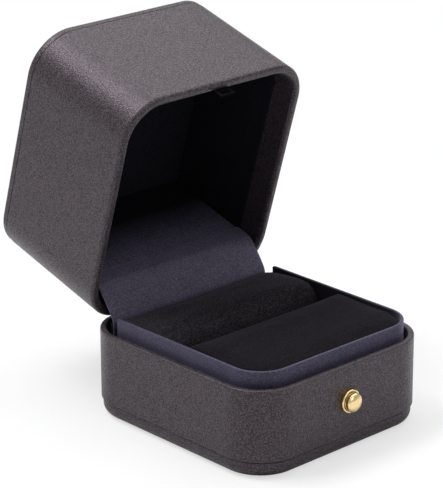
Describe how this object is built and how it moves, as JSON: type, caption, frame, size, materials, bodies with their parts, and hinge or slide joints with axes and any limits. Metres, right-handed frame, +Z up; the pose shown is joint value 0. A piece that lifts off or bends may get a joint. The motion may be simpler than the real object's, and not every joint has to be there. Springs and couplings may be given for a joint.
{
  "type": "ring box",
  "caption": "Open hinged presentation box for a ring, rounded square, with a push-button catch, a raised collar and two velvet rolls that form a slot.",
  "frame": {"origin": "middle of the underside of the base, on the surface that it stands on", "axes": "+Z up, -Y towards the push button, +Y towards the hinge, X along the hinge"},
  "size_m": [0.06, 0.1011, 0.0945],
  "materials": {
    "board": "grey board",
    "leatherette": "matt fine grain with a satin sheen",
    "navy_cloth": "smooth satin suede",
    "velvet": "short pile velvet",
    "gilt_metal": "polished",
    "dark_metal": "black",
    "steel": "bright"
  },
  "bodies": {
    "base": {"bottom_board": "board", "bottom_wrap": "leatherette", "base_floor_board": "board", "base_wall_board": "board", "base_wall_wrap": "leatherette", "collar_card": "board", "collar_wrap": "navy_cloth", "insert_board": "board", "insert_back": "navy_cloth", "roll_front": "velvet", "roll_rear": "velvet", "button_bezel": "gilt_metal", "bezel_nut": "steel", "button_spring": "steel", "hinge_leaf_base": "steel", "hinge_pin": "steel", "hinge_rivet_base_left": "steel", "hinge_rivet_base_right": "steel", "hinge_spring": "steel", "hinge_strip": "navy_cloth"},
    "button": {"button_cap": "gilt_metal", "button_stem": "steel", "latch_plate": "steel", "stem_clip": "steel"},
    "lid": {"lid_wall_board": "board", "lid_wall_wrap": "leatherette", "lid_top_board": "board", "lid_top_wrap": "leatherette", "lid_plug_board": "board", "lid_lining_sides": "navy_cloth", "lid_lining_back": "navy_cloth", "lid_lining_top": "navy_cloth", "hinge_leaf_lid": "steel", "hinge_rivet_lid_left": "steel", "hinge_rivet_lid_right": "steel", "keeper": "dark_metal", "keeper_rivet_left": "dark_metal", "keeper_rivet_right": "dark_metal"}
  },
  "joints": [
    {"name": "lid_hinge", "type": "hinge", "parent": "base", "child": "lid", "pos_m": [0, 0.0311, 0.0239], "axis": [1, 0, 0], "range_deg": [0, 73.4], "deforming": ["hinge_strip"]},
    {"name": "button_press", "type": "slide", "parent": "base", "child": "button", "axis": [0, 1, 0], "range_m": [0, 0.001], "stiffness_N_per_m": 2000, "springref_m": -0.0004, "deforming": ["button_spring"]}
  ]
}
